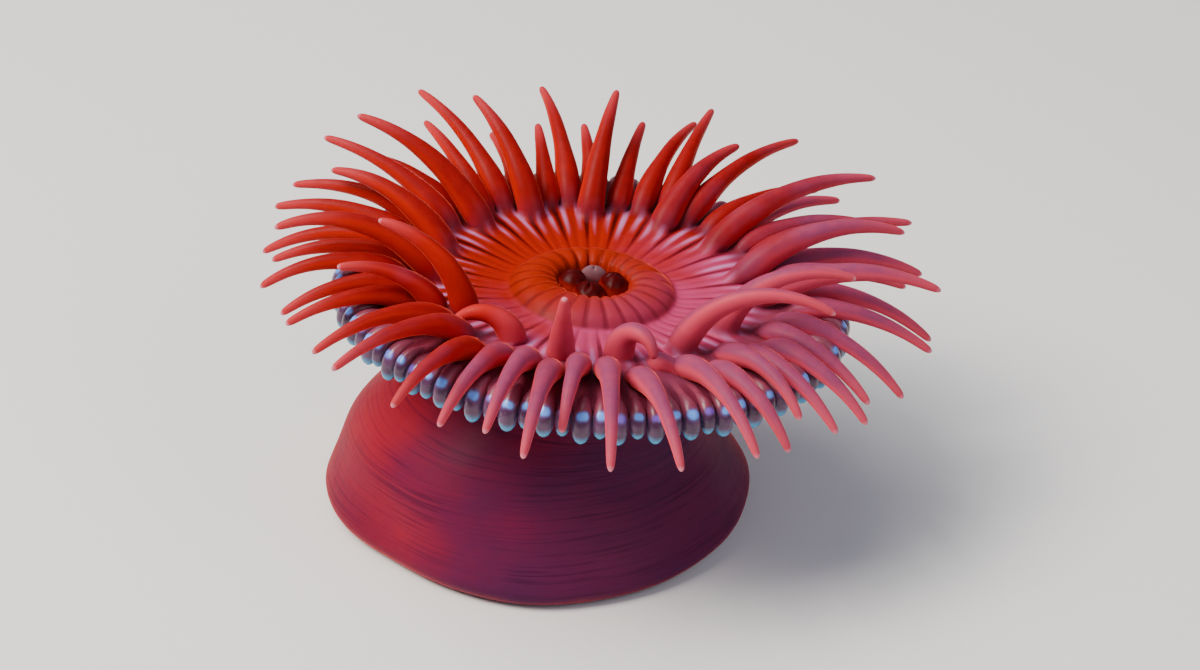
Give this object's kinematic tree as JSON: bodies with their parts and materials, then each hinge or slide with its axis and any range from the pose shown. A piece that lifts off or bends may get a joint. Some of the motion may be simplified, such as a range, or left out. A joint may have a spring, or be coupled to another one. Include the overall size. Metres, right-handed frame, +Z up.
{
  "type": "beadlet anemone",
  "caption": "Open beadlet anemone as a still model: squat column on a flat foot, leaning crown of curved tentacles round a pleated mouth, beaded collar.",
  "frame": {"origin": "middle of the pedal disc's flat underside, on the floor", "axes": "+Z up, +X towards the side the crown leans to, -Y towards the front, where the mouth is seen from above"},
  "size_m": [0.0644, 0.0627, 0.0337],
  "materials": {
    "column_flesh": "wet smooth skin with fine crosswise wrinkles",
    "tentacle_flesh": "wet, slightly see-through skin with paler tips",
    "throat_flesh": "wet dark skin",
    "bead_flesh": "wet glassy beads"
  },
  "bodies": {
    "root": {"pedal_disc": "column_flesh", "column_lower": "column_flesh", "column_middle": "column_flesh", "column_upper": "column_flesh", "collar_1": "column_flesh", "collar_2": "column_flesh", "collar_3": "column_flesh", "collar_4": "column_flesh", "collar_5": "column_flesh", "collar_6": "column_flesh", "margin_01": "tentacle_flesh", "margin_02": "tentacle_flesh", "margin_03": "tentacle_flesh", "margin_04": "tentacle_flesh", "margin_05": "tentacle_flesh", "margin_06": "tentacle_flesh", "margin_07": "tentacle_flesh", "margin_08": "tentacle_flesh", "margin_09": "tentacle_flesh", "margin_10": "tentacle_flesh", "margin_11": "tentacle_flesh", "margin_12": "tentacle_flesh", "margin_13": "tentacle_flesh", "margin_14": "tentacle_flesh", "margin_15": "tentacle_flesh", "oral_disc": "tentacle_flesh", "lips": "tentacle_flesh", "throat": "throat_flesh", "tentacle_01_base": "tentacle_flesh", "tentacle_01_tip": "tentacle_flesh", "tentacle_02_base": "tentacle_flesh", "tentacle_02_tip": "tentacle_flesh", "tentacle_03_base": "tentacle_flesh", "tentacle_03_tip": "tentacle_flesh", "tentacle_04_base": "tentacle_flesh", "tentacle_04_tip": "tentacle_flesh", "tentacle_05_base": "tentacle_flesh", "tentacle_05_tip": "tentacle_flesh", "tentacle_06_base": "tentacle_flesh", "tentacle_06_tip": "tentacle_flesh", "tentacle_07_base": "tentacle_flesh", "tentacle_07_tip": "tentacle_flesh", "tentacle_08_base": "tentacle_flesh", "tentacle_08_tip": "tentacle_flesh", "tentacle_09_base": "tentacle_flesh", "tentacle_09_tip": "tentacle_flesh", "tentacle_10_base": "tentacle_flesh", "tentacle_10_tip": "tentacle_flesh", "tentacle_11_base": "tentacle_flesh", "tentacle_11_tip": "tentacle_flesh", "tentacle_12_base": "tentacle_flesh", "tentacle_12_tip": "tentacle_flesh", "tentacle_13_base": "tentacle_flesh", "tentacle_13_tip": "tentacle_flesh", "tentacle_14_base": "tentacle_flesh", "tentacle_14_tip": "tentacle_flesh", "tentacle_15_base": "tentacle_flesh", "tentacle_15_tip": "tentacle_flesh"}
  },
  "joints": []
}
